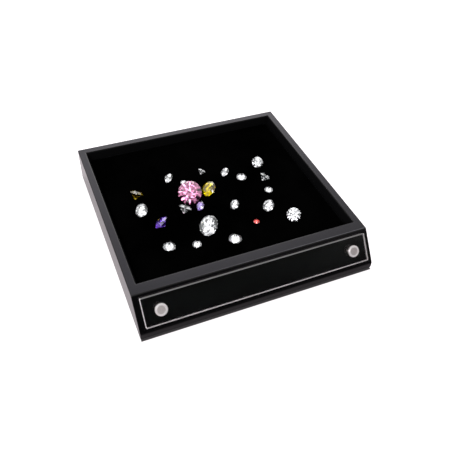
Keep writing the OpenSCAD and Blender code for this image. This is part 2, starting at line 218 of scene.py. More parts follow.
# The two stepped bores that the brass inserts are pressed into: the bore, and a shallow seat for
# the flange. They are cut square to the slope, from a little above it. The plate's middle lies
# plate_s down the slope from the arris, and the cap screws cap_x to each side.
plate_s, cap_x = 14.7 * mm, 81.5 * mm
bore_r, bore_depth, flange_r, flange_depth, above = 3 * mm, 10 * mm, 3.8 * mm, 0.8 * mm, 1 * mm
on_slope = (Matrix.Translation((0, arris_y, rim_z)) @ Matrix.Rotation(slope, 4, "X")
            @ Matrix.Translation((0, -plate_s, 0)))
for x in (-cap_x, cap_x):
    for radius, depth in ((bore_r, bore_depth), (flange_r, flange_depth)):
        drill(tray, radius, depth + above, on_slope @ Vector((x, 0, (above - depth) / 2)), slope)

# Polished polyester lacquer: a deep black with mirror gloss, a faint orange peel 3 mm wide, and
# slightly hazier patches 36 mm wide.
lacquer = start_material("black_polyester_lacquer_polished")
place = add_node(lacquer, "TexCoord")
peel = add_node(lacquer, "TexNoise", {"Scale": 330.0, "Detail": 1.0}, {"Vector": (place, "Object")})
haze = add_node(lacquer, "TexNoise", {"Scale": 28.0, "Detail": 4.0}, {"Vector": (place, "Object")})
gloss = add_node(lacquer, "MapRange",
                 {"From Min": 0.3, "From Max": 0.75, "To Min": 0.045, "To Max": 0.11},
                 {"Value": (haze, "Fac")})
ripple = add_node(lacquer, "Bump", {"Strength": 0.06, "Distance": 0.02 * mm}, {"Height": (peel, "Fac")})
shader = add_node(lacquer, "BsdfPrincipled",
                  {"Base Color": linear("#060607"), "IOR": 1.58, "Specular Tint": linear("#fff9fc")},
                  {"Roughness": (gloss, "Result"), "Normal": (ripple, "Normal")})
add_node(lacquer, "OutputMaterial", links={"Surface": (shader, "BSDF")})

# The same lacquer rubbed with fine wool: a dark grey satin, cloudy over 22 mm. The wool's marks
# are 0.2 mm apart in truth, and are drawn 0.7 mm apart so that they show.
satin = start_material("black_lacquer_rubbed_satin")
place = add_node(satin, "TexCoord")
wool = add_node(satin, "TexNoise", {"Scale": 1400.0, "Detail": 3.0}, {"Vector": (place, "Object")})
cloud = add_node(satin, "TexNoise", {"Scale": 45.0, "Detail": 5.0}, {"Vector": (place, "Object")})
tone = add_node(satin, "MapRange", {"From Min": 0.3, "From Max": 0.7, "To Min": 0.0, "To Max": 1.0},
                {"Value": (cloud, "Fac")})
grey = add_node(satin, "Mix", {"A": linear("#141415"), "B": linear("#1c1c1e")},
                {"Factor": (tone, "Result")}, data_type="RGBA")
scuff = add_node(satin, "Bump", {"Strength": 0.25, "Distance": 0.01 * mm}, {"Height": (wool, "Fac")})
shader = add_node(satin, "BsdfPrincipled", {"Roughness": 0.36, "Specular Tint": linear("#f6f0ff")},
                  {"Base Color": (grey, "Result"), "Normal": (scuff, "Normal")})
add_node(satin, "OutputMaterial", links={"Surface": (shader, "BSDF")})

# The primer coat inside and underneath, sprayed but not polished: a flat black, with its grain
# drawn at 0.4 mm, which is coarser than real, so that it shows.
primer = start_material("black_sprayed_primer")
place = add_node(primer, "TexCoord")
grain = add_node(primer, "TexNoise", {"Scale": 2500.0, "Detail": 2.0}, {"Vector": (place, "Object")})
tone = add_node(primer, "Mix", {"A": linear("#0c0c0c"), "B": linear("#1a1a1a")},
                {"Factor": (grain, "Fac")}, data_type="RGBA")
rough = add_node(primer, "Bump", {"Strength": 0.4, "Distance": 0.03 * mm}, {"Height": (grain, "Fac")})
shader = add_node(primer, "BsdfPrincipled", {"Roughness": 0.7},
                  {"Base Color": (tone, "Result"), "Normal": (rough, "Normal")})
add_node(primer, "OutputMaterial", links={"Surface": (shader, "BSDF")})

# Along the upper arris a paler hairline is painted on the lacquer: a painted highlight, patchy over about 5
# mm, and most so to the right.
arris_highlight_paint = start_material("black_lacquer_painted_arris_highlight")
place = add_node(arris_highlight_paint, "TexCoord")
across = add_node(arris_highlight_paint, "SeparateXYZ", {}, {0: (place, "Object")})
highlight_to_right = add_node(arris_highlight_paint, "MapRange", {"From Min": -100 * mm, "From Max": 100 * mm, "To Max": 2.0},
                   {"Value": (across, "X")})
highlight_patches = add_node(arris_highlight_paint, "TexNoise", {"Scale": 180.0, "Detail": 4.0}, {"Vector": (place, "Object")})
highlight_strength = add_node(arris_highlight_paint, "Math", {}, {0: (highlight_to_right, "Result"), 1: (highlight_patches, "Fac")}, operation="MULTIPLY")
tone = add_node(arris_highlight_paint, "Mix", {"A": linear("#1a1a1c"), "B": linear("#68686e")},
                {"Factor": (highlight_strength, "Value")}, data_type="RGBA")
shader = add_node(arris_highlight_paint, "BsdfPrincipled", {"Roughness": 0.3}, {"Base Color": (tone, "Result")})
add_node(arris_highlight_paint, "OutputMaterial", links={"Surface": (shader, "BSDF")})

# The flat rim is satin, the upper part of the arris carries the painted highlight, and the inside and
# underside primer.
level_face, nearly_level, highlight_band = 0.999, 0.97, 0.2 * mm
for material in (lacquer, satin, primer, arris_highlight_paint):
    tray.data.materials.append(material)
for face in tray.data.polygons:
    middle, facing = face.center, face.normal
    inside = (abs(middle.x) < inner_x + rebate_w
              and inner_front - rebate_w < middle.y < inner_back + rebate_w)
    if facing.z > level_face and close_to(middle.z, rim_z):
        face.material_index = 1
    elif middle.y < arris_end and middle.z > rim_z - highlight_band and facing.z > nearly_level:
        face.material_index = 3
    elif middle.z < bottom_z + hair or (inside and middle.z < rim_z - 1 * mm):
        face.material_index = 2
smooth(tray, 40)
shape_with(tray, "WEIGHTED_NORMAL", weight=100, keep_sharp=True)
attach(tray, "tray")
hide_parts("front_moulding", "left_side", "right_side", "back_board")

# Corner dowels. Four turned beech pins, glued into the side boards and the moulding. They are
# buried in the frame, so they keep the CAD solid. The dark flecks of beech are drawn as streaks
# 1 mm wide and 17 mm long, which is coarser than real.


def dress(name, material):
    """Gives a CAD node its material."""
    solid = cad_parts[name]
    solid.data.materials.clear()
    solid.data.materials.append(material)


beech = start_material("beech_planed")
place = add_node(beech, "TexCoord")
along = add_node(beech, "Mapping", {"Scale": (900.0, 60.0, 900.0)}, {"Vector": (place, "Object")})
fleck = add_node(beech, "TexNoise", {"Scale": 1.0, "Detail": 6.0, "Roughness": 0.65},
                 {"Vector": (along, "Vector")})
tone = add_node(beech, "Mix", {"A": linear("#b98a5e"), "B": linear("#d9b184")},
                {"Factor": (fleck, "Fac")}, data_type="RGBA")
pore = add_node(beech, "Bump", {"Strength": 0.3, "Distance": 0.05 * mm}, {"Height": (fleck, "Fac")})
shader = add_node(beech, "BsdfPrincipled", {"Roughness": 0.55},
                  {"Base Color": (tone, "Result"), "Normal": (pore, "Normal")})
add_node(beech, "OutputMaterial", links={"Surface": (shader, "BSDF")})
dress("corner_dowels", beech)

# Base panel, insert board and ledges. Medium-density fibreboard: the base lies in a rebate and
# is screwed up into four glued ledges, which also carry the lift-out insert. Its faces are
# smooth and tan, with pressed fibres about 1 mm long and slightly uneven over 17 mm.
fibreboard = start_material("fibreboard_sanded")
place = add_node(fibreboard, "TexCoord")
felt = add_node(fibreboard, "TexNoise", {"Scale": 1100.0, "Detail": 5.0, "Distortion": 1.5},
                {"Vector": (place, "Object")})
patch = add_node(fibreboard, "TexNoise", {"Scale": 60.0, "Detail": 3.0}, {"Vector": (place, "Object")})
fibres = add_node(fibreboard, "Mix", {"A": linear("#8a6a48"), "B": linear("#b08e66")},
                  {"Factor": (felt, "Fac")}, data_type="RGBA")
tone = add_node(fibreboard, "Mix", {"B": linear("#9a7a55")},
                {"Factor": (patch, "Fac"), "A": (fibres, "Result")}, data_type="RGBA")
nap = add_node(fibreboard, "Bump", {"Strength": 0.3, "Distance": 0.04 * mm}, {"Height": (felt, "Fac")})
shader = add_node(fibreboard, "BsdfPrincipled", {"Roughness": 0.8},
                  {"Base Color": (tone, "Result"), "Normal": (nap, "Normal")})
add_node(fibreboard, "OutputMaterial", links={"Surface": (shader, "BSDF")})
for name in ("base_panel", "insert_board", "left_ledge", "right_ledge", "front_ledge", "back_ledge"):
    dress(name, fibreboard)

# Base screws. Eight countersunk steel wood screws, zinc plated, flush with the underside. The
# plating is bright and slightly blue, and cloudy over about 1 mm.
zinc = start_material("zinc_plated_steel")
place = add_node(zinc, "TexCoord")
cloud = add_node(zinc, "TexNoise", {"Scale": 900.0, "Detail": 4.0}, {"Vector": (place, "Object")})
tone = add_node(zinc, "Mix", {"A": linear("#9a9ca3"), "B": linear("#c3c5ca")},
                {"Factor": (cloud, "Fac")}, data_type="RGBA")
dull = add_node(zinc, "MapRange", {"To Min": 0.25, "To Max": 0.45}, {"Value": (cloud, "Fac")})
shader = add_node(zinc, "BsdfPrincipled", {"Metallic": 1.0},
                  {"Base Color": (tone, "Result"), "Roughness": (dull, "Result")})
add_node(zinc, "OutputMaterial", links={"Surface": (shader, "BSDF")})
dress("base_screws", zinc)

# Feet. Four self-adhesive discs of black moulded rubber, 1 mm thick, with a soft lower edge.
# Rubber is matt. Its pebbled skin is drawn 0.6 mm wide so that it shows, and takes a little dust,
# which greys it in patches 3 mm wide.
rubber = start_material("black_rubber_moulded")
place = add_node(rubber, "TexCoord")
pebble = add_node(rubber, "TexVoronoi", {"Scale": 1800.0}, {"Vector": (place, "Object")})
dust = add_node(rubber, "TexNoise", {"Scale": 300.0, "Detail": 4.0}, {"Vector": (place, "Object")})
tone = add_node(rubber, "Mix", {"A": linear("#0e0e0e"), "B": linear("#262625")},
                {"Factor": (dust, "Fac")}, data_type="RGBA")
skin = add_node(rubber, "Bump", {"Strength": 0.3, "Distance": 0.03 * mm}, {"Height": (pebble, "Distance")})
shader = add_node(rubber, "BsdfPrincipled", {"Roughness": 0.75},
                  {"Base Color": (tone, "Result"), "Normal": (skin, "Normal")})
add_node(rubber, "OutputMaterial", links={"Surface": (shader, "BSDF")})
dress("feet", rubber)

# Velvet lining. Four strips of black velvet, glued to the inner walls from the ledges to just
# under the rim, with a rolled upper edge. Velvet soaks up light head-on and lightens where its
# pile is seen from the side.
velvet = start_material("black_velvet")
place = add_node(velvet, "TexCoord")

# The tufts are drawn 0.45 mm wide, coarser than real, so that they show, and the pile is brushed
# one way and the other over 45 mm.
pile = add_node(velvet, "TexNoise", {"Scale": 2200.0, "Detail": 2.0}, {"Vector": (place, "Object")})
brushed = add_node(velvet, "TexNoise", {"Scale": 22.0, "Detail": 3.0, "Distortion": 0.6},
                   {"Vector": (place, "Object")})
sweep = add_node(velvet, "MapRange", {"From Min": 0.4, "From Max": 0.75}, {"Value": (brushed, "Fac")})
tone = add_node(velvet, "Mix", {"A": linear("#010101"), "B": linear("#040404")},
                {"Factor": (sweep, "Result")}, data_type="RGBA")
tufts = add_node(velvet, "Bump", {"Strength": 0.5, "Distance": 0.1 * mm}, {"Height": (pile, "Fac")})
shader = add_node(velvet, "BsdfPrincipled",
                  {"Roughness": 1.0, "Specular IOR Level": 0.0, "Sheen Weight": 0.025, "Sheen Roughness": 0.3,
                   "Sheen Tint": linear("#c8c8d2")},
                  {"Base Color": (tone, "Result"), "Normal": (tufts, "Normal")})
add_node(velvet, "OutputMaterial", links={"Surface": (shader, "BSDF")})

# The lining is a shorter pile of the same black, painted a shade greyer: a painted sheen on the walls.
lining_velvet_painted_sheen = start_material("black_velvet_short_pile_painted_sheen")
place = add_node(lining_velvet_painted_sheen, "TexCoord")
pile = add_node(lining_velvet_painted_sheen, "TexNoise", {"Scale": 2600.0, "Detail": 2.0},
                {"Vector": (place, "Object")})
tone = add_node(lining_velvet_painted_sheen, "Mix", {"A": linear("#0a0a0b"), "B": linear("#161617")},
                {"Factor": (pile, "Fac")}, data_type="RGBA")
tufts = add_node(lining_velvet_painted_sheen, "Bump", {"Strength": 0.5, "Distance": 0.08 * mm},
                 {"Height": (pile, "Fac")})
shader = add_node(lining_velvet_painted_sheen, "BsdfPrincipled",
                  {"Roughness": 1.0, "Specular IOR Level": 0.0, "Sheen Weight": 0.03, "Sheen Roughness": 0.4,
                   "Sheen Tint": linear("#c8c8d2")},
                  {"Base Color": (tone, "Result"), "Normal": (tufts, "Normal")})
add_node(lining_velvet_painted_sheen, "OutputMaterial", links={"Surface": (shader, "BSDF")})

# Each strip is cut into short lengths, so that its upper edge can waver a little.
top_roll, lengths, wavering_part, waver, waves_per_metre = 0.3 * mm, 40, 0.5 * mm, 0.15 * mm, 90
for side in ("left", "right", "front", "back"):
    low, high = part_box(side + "_lining")
    strip = start_box(side + "_velvet_strip", low, high)
    along_x = high.x - low.x > high.y - low.y
    edit(strip)
    pick("EDGE", lambda p: close_to(p.z, high.z))
    bpy.ops.mesh.bevel(offset=top_roll, segments=3, profile=0.5, affect="EDGES")
    for k in range(1, lengths):
        bpy.ops.mesh.select_all(action="SELECT")
        cut_at = low.lerp(high, k / lengths)
        bpy.ops.mesh.bisect(plane_co=cut_at, plane_no=(1, 0, 0) if along_x else (0, 1, 0))
    bpy.ops.object.mode_set(mode="OBJECT")
    for v in strip.data.vertices:
        if v.co.z > high.z - wavering_part:
            v.co.z += waver * noise.noise(Vector((v.co.x, v.co.y, 0)) * waves_per_metre)
    strip.data.materials.append(lining_velvet_painted_sheen)
    smooth(strip, 50)
    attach(strip, "tray")
    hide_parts(side + "_lining")

# Display pad. A slab of upholstery foam on the board, with black velvet pulled over it and
# glued under the board's edge. The tension rolls its upper edge, flattens the top and draws
# small gathers at the corners.
foam = start_material("grey_upholstery_foam")
place = add_node(foam, "TexCoord")

# The cut faces show open cells 0.7 mm wide, painted darker towards their hollow middles: painted shade.
cells = add_node(foam, "TexVoronoi", {"Scale": 1500.0}, {"Vector": (place, "Object")})
tone = add_node(foam, "Mix", {"A": linear("#3a3a3d"), "B": linear("#8a8a8f")},
                {"Factor": (cells, "Distance")}, data_type="RGBA")
open_cells = add_node(foam, "Bump", {"Strength": 0.8, "Distance": 0.3 * mm},
                      {"Height": (cells, "Distance")})
shader = add_node(foam, "BsdfPrincipled", {"Roughness": 0.95},
                  {"Base Color": (tone, "Result"), "Normal": (open_cells, "Normal")})
add_node(foam, "OutputMaterial", links={"Surface": (shader, "BSDF")})


def pick_upright():
    """In edit mode, selects the edges that run upright."""
    pick("EDGE", lambda p: True)
    shape = bmesh.from_edit_mesh(bpy.context.object.data)
    for edge in shape.edges:
        edge.select_set(abs(edge.verts[0].co.z - edge.verts[1].co.z) > 1 * mm)
    bmesh.update_edit_mesh(bpy.context.object.data)


def padded_slab(name, low, high, corner, roll, cell):
    """A slab whose upright corners and upper edge are rounded, as an even mesh of small cells."""
    slab = start_box(name, low, high)
    edit(slab)
    pick_upright()
    bpy.ops.mesh.bevel(offset=corner, segments=4, profile=0.5, affect="EDGES")
    pick("EDGE", lambda p: close_to(p.z, high.z))
    bpy.ops.mesh.bevel(offset=roll, segments=8, profile=0.5, affect="EDGES", clamp_overlap=False)
    bpy.ops.object.mode_set(mode="OBJECT")
    shape_with(slab, "REMESH", mode="VOXEL", voxel_size=cell)
    return slab


# The foam lies on a film of glue on the board, and stays a little under the velvet.
glue_film, under_velvet = 0.05 * mm, 0.1 * mm
board_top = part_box("insert_board")[1].z
foam_low, foam_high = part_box("pad_foam")
foam_slab = padded_slab("foam_slab", Vector((foam_low.x, foam_low.y, board_top + glue_film)),
                        foam_high - Vector((0, 0, under_velvet)),
                        corner=1.5 * mm, roll=5 * mm, cell=2.5 * mm)
foam_slab.data.materials.append(foam)
smooth(foam_slab, 60)
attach(foam_slab, "display_pad")
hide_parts("pad_foam")

# The velvet is shaped as a closed slab, with 1 mm more below that is cut off, which opens it
# underneath.
pad_low, pad_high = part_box("velvet_cover")
cover = padded_slab("velvet_pad", pad_low - Vector((0, 0, 1 * mm)), pad_high,
                    corner=1.5 * mm, roll=5.5 * mm, cell=1.2 * mm)
edit(cover)
bpy.ops.mesh.select_all(action="SELECT")
bpy.ops.mesh.bisect(plane_co=pad_low, plane_no=(0, 0, 1), clear_inner=True)
bpy.ops.object.mode_set(mode="OBJECT")

# The stones stand stone_gap above the solid velvet. The top rises until they are only just clear,
# eases down to the rolled edge over edge_band, and sinks in gathers around each corner.
stone_gap, just_clear, edge_band, cloth_t = 0.2 * mm, 0.07 * mm, 9 * mm, 0.45 * mm
unevenness, bumps_per_metre = 0.05 * mm, 60
gather_depth, gather_reach, gathers_per_turn = 0.45 * mm, 26 * mm, 14
pad_middle = (pad_low + pad_high) / 2
half = (pad_high - pad_low) / 2
for v in cover.data.vertices:
    from_edge = Vector((half.x - abs(v.co.x - pad_middle.x), half.y - abs(v.co.y - pad_middle.y)))
    height = max(0.0, (v.co.z - pad_low.z) / (pad_high.z - pad_low.z))
    ease = min(1.0, min(from_edge) / edge_band)
    uneven = unevenness * noise.noise(v.co * bumps_per_metre)
    v.co.z += height * ((stone_gap - just_clear) * ease + uneven)
    near_corner = max(0.0, 1 - from_edge.length / gather_reach)
    around = math.atan2(from_edge.y, from_edge.x)
    v.co.z -= gather_depth * near_corner * height * (0.5 + 0.5 * math.sin(gathers_per_turn * around))
cover.data.materials.append(velvet)
shape_with(cover, "SOLIDIFY", thickness=cloth_t, offset=-1)
smooth(cover, 60)
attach(cover, "display_pad")
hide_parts("velvet_cover")

# Label card. A blank strip of black card behind the clear plate, where a name would go. Card
# is matt and slightly green-black, with a paper tooth that is drawn 0.3 mm wide so that it shows.
card = start_material("black_card")
place = add_node(card, "TexCoord")
tooth = add_node(card, "TexNoise", {"Scale": 3000.0, "Detail": 3.0}, {"Vector": (place, "Object")})
tone = add_node(card, "Mix", {"A": linear("#020404"), "B": linear("#050a08")},
                {"Factor": (tooth, "Fac")}, data_type="RGBA")
paper = add_node(card, "Bump", {"Strength": 0.4, "Distance": 0.02 * mm}, {"Height": (tooth, "Fac")})
shader = add_node(card, "BsdfPrincipled", {"Roughness": 0.7, "Specular IOR Level": 0.05},
                  {"Base Color": (tone, "Result"), "Normal": (paper, "Normal")})
add_node(card, "OutputMaterial", links={"Surface": (shader, "BSDF")})
dress("label_card", card)

# Name plate. Clear acrylic sheet, 3 mm thick, cut to a strip with chamfered edges and drilled for the two cap
# screws. The faces are as smooth as glass, and the cut edges are satin and painted pale as an outline: their
# own frosted colour, and a painted glow of light carried through the sheet.
plate_w, plate_l, plate_t, plate_z = 190 * mm, 23 * mm, 3 * mm, 0.45 * mm
corner_r, edge_chamfer, hole_r, hole_length = 0.8 * mm, 0.4 * mm, 2.3 * mm, 10 * mm
plate = start_box("clear_plate", (-plate_w / 2, -plate_l / 2, plate_z),
                  (plate_w / 2, plate_l / 2, plate_z + plate_t))
edit(plate)
pick_upright()
bpy.ops.mesh.bevel(offset=corner_r, segments=5, profile=0.5, affect="EDGES")
for level in (plate_z, plate_z + plate_t):
    pick("EDGE", lambda p: close_to(p.z, level))
    bpy.ops.mesh.bevel(offset=edge_chamfer, segments=1, affect="EDGES")
bpy.ops.object.mode_set(mode="OBJECT")
for x in (-cap_x, cap_x):
    drill(plate, hole_r, hole_length, (x, 0, 0))

# Cast acrylic: clear, with a hint of grey, and a very faint wave 40 mm wide.
acrylic = start_material("clear_acrylic_cast")
place = add_node(acrylic, "TexCoord")
swirl = add_node(acrylic, "TexNoise", {"Scale": 25.0, "Detail": 2.0}, {"Vector": (place, "Object")})
wave = add_node(acrylic, "Bump", {"Strength": 0.03, "Distance": 0.02 * mm}, {"Height": (swirl, "Fac")})
shader = add_node(acrylic, "BsdfPrincipled",
                  {"Base Color": linear("#f7f4f6"), "Roughness": 0.0, "IOR": 1.49,
                   "Transmission Weight": 1.0},
                  {"Normal": (wave, "Normal")})
add_node(acrylic, "OutputMaterial", links={"Surface": (shader, "BSDF")})

# The cut edges: fine saw marks 0.3 mm apart. The upper edge is grey and lets some light through, and the
# lower edge and the ends are painted near white: a painted glow of light carried through the sheet to them.
edges = []
for name, colour, clear in (("clear_acrylic_scraped_edge", "#a09c9d", 0.35),
                            ("clear_acrylic_sawn_edge", "#fbf6f7", 0.0)):
    cut_edge = start_material(name)
    place = add_node(cut_edge, "TexCoord")
    saw = add_node(cut_edge, "TexNoise", {"Scale": 3300.0, "Detail": 1.0}, {"Vector": (place, "Object")})
    marks = add_node(cut_edge, "Bump", {"Strength": 0.5, "Distance": 0.05 * mm},
                     {"Height": (saw, "Fac")})
    shader = add_node(cut_edge, "BsdfPrincipled",
                      {"Base Color": linear(colour), "Roughness": 0.45, "IOR": 1.49,
                       "Transmission Weight": clear},
                      {"Normal": (marks, "Normal")})
    add_node(cut_edge, "OutputMaterial", links={"Surface": (shader, "BSDF")})
    edges.append(cut_edge)
for material in (acrylic, *edges):
    plate.data.materials.append(material)
edge_zone = 1 * mm
for face in plate.data.polygons:
    if abs(face.normal.z) < 0.9:
        at_end = abs(face.center.x) > plate_w / 2 - edge_zone
        if at_end or face.center.y < edge_zone - plate_l / 2:
            face.material_index = 2
        elif face.center.y > plate_l / 2 - edge_zone:
            face.material_index = 1


def lay_on_slope(piece, x=0.0):
    """Turns a piece that was modelled flat onto the slope and applies its place to its mesh."""
    select_only(piece)
    piece.matrix_world = on_slope @ Matrix.Translation((x, 0, 0))
    bpy.ops.object.transform_apply(location=True, rotation=True, scale=True)


lay_on_slope(plate)
smooth(plate, 30)
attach(plate, "front_plate")
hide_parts("name_plate")

# Threaded inserts and washers. The inserts are turned from brass, with a flange that lies flush
# with the slope, and their tool marks are drawn 0.5 mm wide so that they show. The washers are
# punched from natural nylon and keep the steel off the acrylic.
brass = start_material("brass_turned")
place = add_node(brass, "TexCoord")
lathe = add_node(brass, "TexNoise", {"Scale": 2000.0, "Detail": 2.0}, {"Vector": (place, "Object")})
tone = add_node(brass, "Mix", {"A": linear("#b8914a"), "B": linear("#d8b566")},
                {"Factor": (lathe, "Fac")}, data_type="RGBA")
shader = add_node(brass, "BsdfPrincipled", {"Metallic": 1.0, "Roughness": 0.28},
                  {"Base Color": (tone, "Result")})
add_node(brass, "OutputMaterial", links={"Surface": (shader, "BSDF")})

# Nylon is milky, and mottled over 1.4 mm.
nylon = start_material("natural_nylon")
place = add_node(nylon, "TexCoord")
mottle = add_node(nylon, "TexNoise", {"Scale": 700.0, "Detail": 3.0}, {"Vector": (place, "Object")})
tone = add_node(nylon, "Mix", {"A": linear("#d6d2c4"), "B": linear("#e9e6dc")},
                {"Factor": (mottle, "Fac")}, data_type="RGBA")
shader = add_node(nylon, "BsdfPrincipled",
                  {"Roughness": 0.42, "Subsurface Weight": 0.2, "Subsurface Scale": 0.5 * mm},
                  {"Base Color": (tone, "Result")})
add_node(nylon, "OutputMaterial", links={"Surface": (shader, "BSDF")})
for side in ("left", "right"):
    dress(side + "_insert", brass)
    dress(side + "_washer", nylon)

# Cap screws. Each is one turned stainless piece: a 4 mm shank with a rolled thread, a round cap with a
# chamfer and a shallow dish, in which the lathe tool left fine rings. The chamfer is painted near white and
# hardly metallic, a painted highlight. The steel is faintly mottled over 1 mm.
# The second finish, for the chamfer, is a paler and hardly metallic copy of the steel: a painted highlight.
finishes = (("stainless_steel_turned", "#cec6c5", "#f0e8e7", 0.6, 0.44),
            ("stainless_steel_bright_chamfer", "#f6f0f0", "#fffbfb", 0.2, 0.4))
steels = []
for name, dark, light, metallic, rough in finishes:
    steel = start_material(name)
    place = add_node(steel, "TexCoord")
    stain = add_node(steel, "TexNoise", {"Scale": 800.0, "Detail": 3.0}, {"Vector": (place, "Object")})
    tone = add_node(steel, "Mix", {"A": linear(dark), "B": linear(light)}, {"Factor": (stain, "Fac")},
                    data_type="RGBA")
    shader = add_node(steel, "BsdfPrincipled", {"Metallic": metallic, "Roughness": rough},
                      {"Base Color": (tone, "Result")})
    add_node(steel, "OutputMaterial", links={"Surface": (shader, "BSDF")})
    steels.append(steel)

# The outline of one half, from the shank's tip up to the middle of the dish, as pairs of radius
# and height over the slope: tip, thread, cap seated on the washer, chamfer, land, dish, rings.
shank_r, reach, cap_r, cap_t, chamfer, dish = 2 * mm, 8 * mm, 4.8 * mm, 2.2 * mm, 0.9 * mm, 0.3 * mm
tip, pitch, thread_depth, over_plate = 0.6 * mm, 0.7 * mm, 0.22 * mm, 0.52 * mm
chamfer_h, under_edge, soft_out, soft_down = 0.7 * chamfer, 0.15 * mm, 0.08 * mm, 0.04 * mm
land_w, dish_in, rings, ring_depth = 0.55 * mm, 0.75 * mm, 10, 0.03 * mm
seat = plate_z + plate_t + over_plate
profile = [(shank_r - tip, -reach)]
level = -reach + tip
while level < -tip:
    profile += [(shank_r, level), (shank_r - thread_depth, level + pitch / 2)]
    level += pitch
profile += [(shank_r, level), (shank_r, seat), (cap_r - under_edge, seat), (cap_r, seat + under_edge)]
top = seat + cap_t
face_r = cap_r - chamfer
dish_r = face_r - dish_in
profile += [(cap_r, top - chamfer_h), (face_r + soft_out, top - soft_down), (face_r, top),
            (face_r - land_w, top), (dish_r, top - dish)]
for k in range(1, 2 * rings):
    profile.append((dish_r * (1 - k / (2 * rings)), top - dish - (ring_depth if k % 2 else 0)))
for side, x in (("left", -cap_x), ("right", cap_x)):
    bpy.ops.object.select_all(action="DESELECT")
    radius, height = profile[0]
    bpy.ops.mesh.primitive_circle_add(vertices=64, radius=radius, fill_type="NGON", location=(0, 0, 0))
    cap = bpy.context.object
    cap.name = cap.data.name = side + "_turned_cap"
    edit(cap)
    bpy.ops.mesh.select_mode(type="FACE")
    bpy.ops.mesh.select_all(action="SELECT")
    bpy.ops.transform.translate(value=(0, 0, height))
    for next_r, next_z in profile[1:]:
        bpy.ops.mesh.extrude_region_move(TRANSFORM_OT_translate={"value": (0, 0, next_z - height)})
        bpy.ops.transform.resize(value=(next_r / radius, next_r / radius, 1),
                                 center_override=(0, 0, next_z))
        radius, height = next_r, next_z
    bpy.ops.mesh.select_all(action="SELECT")
    bpy.ops.mesh.normals_make_consistent(inside=False)
    bpy.ops.object.mode_set(mode="OBJECT")
    for material in steels:
        cap.data.materials.append(material)
    for face in cap.data.polygons:
        if face.center.z > top - chamfer and face.center.xy.length > dish_r:
            face.material_index = 1
    lay_on_slope(cap, x)
    smooth(cap, 25)
    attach(cap, side + "_cap_screw")
    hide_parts(side + "_cap_screw")

# Cut stones. Round brilliants of synthetic crystal, polished flat facet by facet, so the CAD's
# exact facets stay. Each takes its colour from what is dissolved in the crystal, a little
# unevenly over 8 mm, and bends light strongly enough to throw it back out through the top.

# For each kind: two tones of the surface, the colour inside, and how densely it is dissolved.
crystals = {
    "clear": ("#fdfdff", "#f6f8fc", "#ffffff", 0.0),
    "pink": ("#fff0f9", "#ffe6f5", "#dc68b2", 58.0),
    "amber": ("#fff2b4", "#ffee98", "#fcfa1c", 400.0),
    "lavender": ("#e6dcff", "#dccfff", "#b488e4", 110.0),
    "honey": ("#fffae8", "#fff6dc", "#e4dc20", 330.0),
    "violet": ("#dcc4ff", "#ceb0ff", "#ac40ea", 130.0),
    "red": ("#ff9a80", "#ff8266", "#ff1408", 420.0)}
crystal = {}
for name, (pale, paler, dissolved, density) in crystals.items():
    gem = start_material(name + "_crystal_polished")
    place = add_node(gem, "TexCoord")
    zone = add_node(gem, "TexNoise", {"Scale": 120.0, "Detail": 1.0}, {"Vector": (place, "Object")})
    tone = add_node(gem, "Mix", {"A": linear(pale), "B": linear(paler)}, {"Factor": (zone, "Fac")},
                    data_type="RGBA")
    shader = add_node(gem, "BsdfPrincipled", {"Roughness": 0.0, "IOR": 2.4, "Transmission Weight": 1.0},
                      {"Base Color": (tone, "Result")})
    sockets = {"Surface": (shader, "BSDF")}
    if density:
        depth = add_node(gem, "VolumeAbsorption", {"Color": linear(dissolved), "Density": density})
        sockets["Volume"] = (depth, "Volume")
    add_node(gem, "OutputMaterial", links=sockets)
    crystal[name] = gem
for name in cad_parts:
    if "stone" in name:
        dress(name, crystal["clear" if "clear" in name else name.split("_")[0]])

# Studio. A white sweep under and behind the tray, three soft boxes, a room that is bright behind
# and darker in front, and the camera at the photograph's place. The floor is a hair under the feet.
floor_size, floor_z = 6, -0.05 * mm
bpy.ops.object.select_all(action="DESELECT")
bpy.ops.mesh.primitive_plane_add(size=floor_size, location=(0, 0, floor_z))
floor = bpy.context.object
floor.name = "studio_floor"
sweep_paper = start_material("white_paper_sweep")
rays = add_node(sweep_paper, "LightPath")
place = add_node(sweep_paper, "TexCoord")
across = add_node(sweep_paper, "SeparateXYZ", {}, {0: (place, "Object")})

# In the lacquer's reflections the sweep is painted darker in two steps, at the tray's foot and further in
# front: a painted shadow of the tray.
near = add_node(sweep_paper, "MapRange", {"From Min": -88 * mm, "From Max": -98 * mm, "To Max": 0.55},
                {"Value": (across, "Y")})
far = add_node(sweep_paper, "MapRange", {"From Min": -108 * mm, "From Max": -125 * mm, "To Max": 0.45},
               {"Value": (across, "Y")})
front = add_node(sweep_paper, "Math", {}, {0: (near, "Result"), 1: (far, "Result")}, operation="ADD")
front_painted_shadow = add_node(sweep_paper, "Math", {}, {0: (rays, "Is Glossy Ray"), 1: (front, "Value")},
                    operation="MULTIPLY")

# The gap under the tray and a line just in front of its foot are painted dark: a painted contact shadow.
wide = add_node(sweep_paper, "Math", {}, {0: (across, "X")}, operation="ABSOLUTE")
deep = add_node(sweep_paper, "Math", {}, {0: (across, "Y")}, operation="ABSOLUTE")
foot_line = add_node(sweep_paper, "Math", {1: 0.6 * mm}, {0: (deep, "Value")}, operation="SUBTRACT")
side_line = add_node(sweep_paper, "Math", {1: 0.5 * mm}, {0: (wide, "Value")}, operation="ADD")
outward = add_node(sweep_paper, "Math", {}, {0: (side_line, "Value"), 1: (foot_line, "Value")},
                   operation="MAXIMUM")
fade_end = half_w + 0.8 * mm
beside = add_node(sweep_paper, "MapRange", {"From Min": half_w, "From Max": fade_end, "To Max": 0.8},
                  {"Value": (outward, "Value")})
under = add_node(sweep_paper, "MapRange", {"From Min": fade_end, "From Max": half_w, "To Max": 0.93},
                 {"Value": (outward, "Value")})
